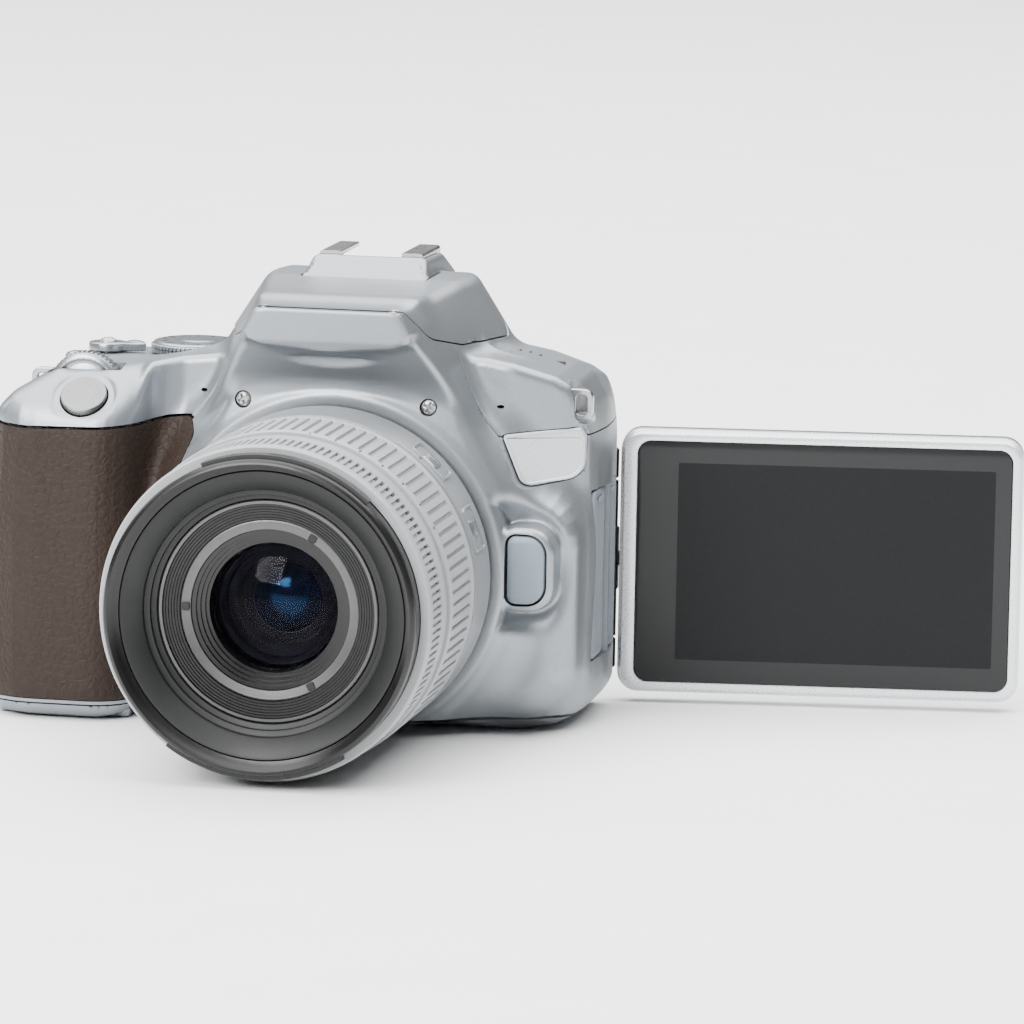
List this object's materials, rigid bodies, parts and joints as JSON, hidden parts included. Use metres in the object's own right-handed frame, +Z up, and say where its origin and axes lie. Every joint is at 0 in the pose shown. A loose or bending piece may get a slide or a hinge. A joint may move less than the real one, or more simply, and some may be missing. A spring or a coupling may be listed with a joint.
{
  "type": "dslr camera",
  "caption": "Compact digital reflex camera with hump, brown grip, ribbed zoom lens, pop-up flash and a swing-out tilting rear screen.",
  "frame": {"origin": "on the flat base, under the lens axis, in the plane of the image sensor", "axes": "+Z up; the lens looks along -Y; +X to the right as seen from the front, towards the opened screen"},
  "size_m": [0.2023, 0.1318, 0.0926],
  "materials": {
    "silver_plastic": "pale silver paint with a fine metallic speckle",
    "grip_rubber": "brown rubber with a leather grain",
    "black_plastic": "fine matt",
    "black_rubber": "soft matt",
    "grey_rubber": "soft matt",
    "pale_plastic": "satin",
    "steel": "fine brushed",
    "spun_metal": "spun",
    "dark_glass": "polished, dark",
    "clear_glass": "polished and coated",
    "mirror": "polished",
    "board": "coated board"
  },
  "bodies": {
    "body": {"front_cover": "silver_plastic", "top_cover": "silver_plastic", "rear_cover": "silver_plastic", "base_cover": "silver_plastic", "grip_leather": "grip_rubber", "badge_plate": "silver_plastic", "front_screw_left": "steel", "front_screw_right": "steel", "hot_shoe": "steel", "strap_lug_left": "steel", "strap_lug_right": "steel", "eyecup": "black_rubber", "eyepiece_lens": "clear_glass", "mount_ring": "steel", "tripod_socket": "steel", "hinge_pin": "steel", "battery": "black_plastic", "memory_card": "black_plastic", "mirror_box": "black_plastic", "focusing_screen": "clear_glass", "pentamirror": "black_plastic", "shutter_unit": "black_plastic", "image_sensor": "dark_glass", "main_board": "board", "lens_barrel": "pale_plastic", "rear_element": "clear_glass"},
    "screen_arm": {"screen_hinge": "black_plastic"},
    "screen": {"screen_back_shell": "silver_plastic", "screen_front_frame": "silver_plastic", "screen_glass": "dark_glass"},
    "flash": {"flash_head": "silver_plastic"},
    "shutter_key": {"shutter_button": "spun_metal"},
    "iso_key": {"iso_button": "silver_plastic"},
    "display_key": {"display_button": "silver_plastic"},
    "menu_key": {"menu_button": "black_plastic"},
    "info_key": {"info_button": "black_plastic"},
    "live_view_key": {"live_view_button": "black_plastic"},
    "exposure_lock_key": {"exposure_lock_button": "black_plastic"},
    "aperture_key": {"aperture_button": "black_plastic"},
    "playback_key": {"playback_button": "black_plastic"},
    "erase_key": {"erase_button": "black_plastic"},
    "cross_key_ring": {"cross_keys": "black_plastic"},
    "set_key": {"set_button": "black_plastic"},
    "lens_release_key": {"lens_release_button": "silver_plastic"},
    "front_dial": {"main_dial": "silver_plastic"},
    "exposure_dial": {"mode_dial": "silver_plastic"},
    "dioptre_wheel": {"dioptre_dial": "black_plastic"},
    "power_lever": {"power_switch": "silver_plastic"},
    "mirror": {"reflex_mirror": "mirror"},
    "door": {"battery_door": "silver_plastic"},
    "door_latch": {"battery_latch": "black_plastic"},
    "jack_cover_front_flap": {"jack_cover_front": "grey_rubber"},
    "jack_cover_rear_flap": {"jack_cover_rear": "grey_rubber"},
    "zoom_grip": {"zoom_ring": "pale_plastic"},
    "front_group": {"front_barrel": "black_plastic", "name_ring": "black_plastic", "front_element": "clear_glass"},
    "focus_grip": {"focus_ring": "pale_plastic"},
    "focus_mode_key": {"focus_mode_switch": "pale_plastic"},
    "stabiliser_key": {"stabiliser_switch": "pale_plastic"}
  },
  "joints": [
    {"name": "screen_swing", "type": "hinge", "parent": "body", "child": "screen_arm", "pos_m": [0.0446, 0.0124, 0.0292], "axis": [0, 0, -1], "range_deg": [-173, 0]},
    {"name": "screen_tilt", "type": "hinge", "parent": "screen_arm", "child": "screen", "pos_m": [0.0446, 0.0124, 0.0292], "axis": [-0.9925, -0.1219, 0], "range_deg": [0, 270]},
    {"name": "flash_lift", "type": "hinge", "parent": "body", "child": "flash", "pos_m": [0, -0.005, 0.0882], "axis": [-1, 0, 0], "range_deg": [0, 70]},
    {"name": "shutter_press", "type": "slide", "parent": "body", "child": "shutter_key", "axis": [0, 0.6561, -0.7547], "range_m": [0, 0.001], "stiffness_N_per_m": 300},
    {"name": "iso_press", "type": "slide", "parent": "body", "child": "iso_key", "axis": [0, 0, -1], "range_m": [0, 0.0006], "stiffness_N_per_m": 300},
    {"name": "display_press", "type": "slide", "parent": "body", "child": "display_key", "axis": [0, 0, -1], "range_m": [0, 0.0006], "stiffness_N_per_m": 300},
    {"name": "menu_press", "type": "slide", "parent": "body", "child": "menu_key", "axis": [0, -1, 0], "range_m": [0, 0.0006], "stiffness_N_per_m": 300},
    {"name": "info_press", "type": "slide", "parent": "body", "child": "info_key", "axis": [0, -1, 0], "range_m": [0, 0.0006], "stiffness_N_per_m": 300},
    {"name": "live_view_press", "type": "slide", "parent": "body", "child": "live_view_key", "axis": [0, -1, 0], "range_m": [0, 0.0006], "stiffness_N_per_m": 300},
    {"name": "exposure_lock_press", "type": "slide", "parent": "body", "child": "exposure_lock_key", "axis": [0, -1, 0], "range_m": [0, 0.0006], "stiffness_N_per_m": 300},
    {"name": "aperture_press", "type": "slide", "parent": "body", "child": "aperture_key", "axis": [0, -1, 0], "range_m": [0, 0.0006], "stiffness_N_per_m": 300},
    {"name": "playback_press", "type": "slide", "parent": "body", "child": "playback_key", "axis": [0, -1, 0], "range_m": [0, 0.0006], "stiffness_N_per_m": 300},
    {"name": "erase_press", "type": "slide", "parent": "body", "child": "erase_key", "axis": [0, -1, 0], "range_m": [0, 0.0006], "stiffness_N_per_m": 300},
    {"name": "cross_keys_press", "type": "slide", "parent": "body", "child": "cross_key_ring", "axis": [0, -1, 0], "range_m": [0, 0.0005], "stiffness_N_per_m": 300},
    {"name": "set_press", "type": "slide", "parent": "body", "child": "set_key", "axis": [0, -1, 0], "range_m": [0, 0.0006], "stiffness_N_per_m": 300},
    {"name": "lens_release_press", "type": "slide", "parent": "body", "child": "lens_release_key", "axis": [0, 1, 0], "range_m": [0, 0.0015], "stiffness_N_per_m": 600},
    {"name": "main_dial_turn", "type": "hinge", "parent": "body", "child": "front_dial", "pos_m": [-0.0532, -0.0314, 0.0653], "axis": [0, 1, 0], "continuous": true},
    {"name": "mode_dial_turn", "type": "hinge", "parent": "body", "child": "exposure_dial", "pos_m": [-0.0353, -0.0115, 0.0706], "axis": [0, 0, 1], "continuous": true},
    {"name": "dioptre_turn", "type": "hinge", "parent": "body", "child": "dioptre_wheel", "pos_m": [0.0174, 0.013, 0.081], "axis": [0, 1, 0], "range_deg": [-120, 120]},
    {"name": "power_turn", "type": "hinge", "parent": "body", "child": "power_lever", "pos_m": [-0.0536, -0.013, 0.0704], "axis": [0, 0, 1], "range_deg": [-45, 0]},
    {"name": "mirror_lift", "type": "hinge", "parent": "body", "child": "mirror", "pos_m": [0, -0.0092, 0.0482], "axis": [-1, 0, 0], "range_deg": [0, 45], "stiffness_Nm_per_rad": 0.002, "springref_deg": -17.19},
    {"name": "battery_door_swing", "type": "hinge", "parent": "body", "child": "door", "pos_m": [-0.0423, 0, 0.0003], "axis": [0, -1, 0], "range_deg": [0, 95]},
    {"name": "battery_latch_slide", "type": "slide", "parent": "door", "child": "door_latch", "axis": [-1, 0, 0], "range_m": [0, 0.0013], "stiffness_N_per_m": 300},
    {"name": "jack_cover_front_swing", "type": "hinge", "parent": "body", "child": "jack_cover_front_flap", "pos_m": [0.049, -0.023, 0.014], "axis": [0, 0, 1], "range_deg": [-120, 0]},
    {"name": "jack_cover_rear_swing", "type": "hinge", "parent": "body", "child": "jack_cover_rear_flap", "pos_m": [0.049, -0.0106, 0.014], "axis": [0, 0, 1], "range_deg": [-120, 0]},
    {"name": "zoom_turn", "type": "hinge", "parent": "body", "child": "zoom_grip", "pos_m": [0, 0, 0.03335], "axis": [0, 1, 0], "range_deg": [0, 60]},
    {"name": "front_barrel_slide", "type": "slide", "parent": "body", "child": "front_group", "axis": [0, -1, 0], "range_m": [0, 0.022]},
    {"name": "focus_turn", "type": "hinge", "parent": "front_group", "child": "focus_grip", "pos_m": [0, 0, 0.03335], "axis": [0, 1, 0], "continuous": true},
    {"name": "focus_mode_slide", "type": "slide", "parent": "body", "child": "focus_mode_key", "axis": [-0.7314, 0, 0.682], "range_m": [-0.002, 0.002]},
    {"name": "stabiliser_slide", "type": "slide", "parent": "body", "child": "stabiliser_key", "axis": [-0.342, 0, 0.9397], "range_m": [-0.002, 0.002]}
  ],
  "couplings": [
    {"joint": "zoom_turn", "follows": "front_barrel_slide", "rad_per_m": 47.5}
  ]
}
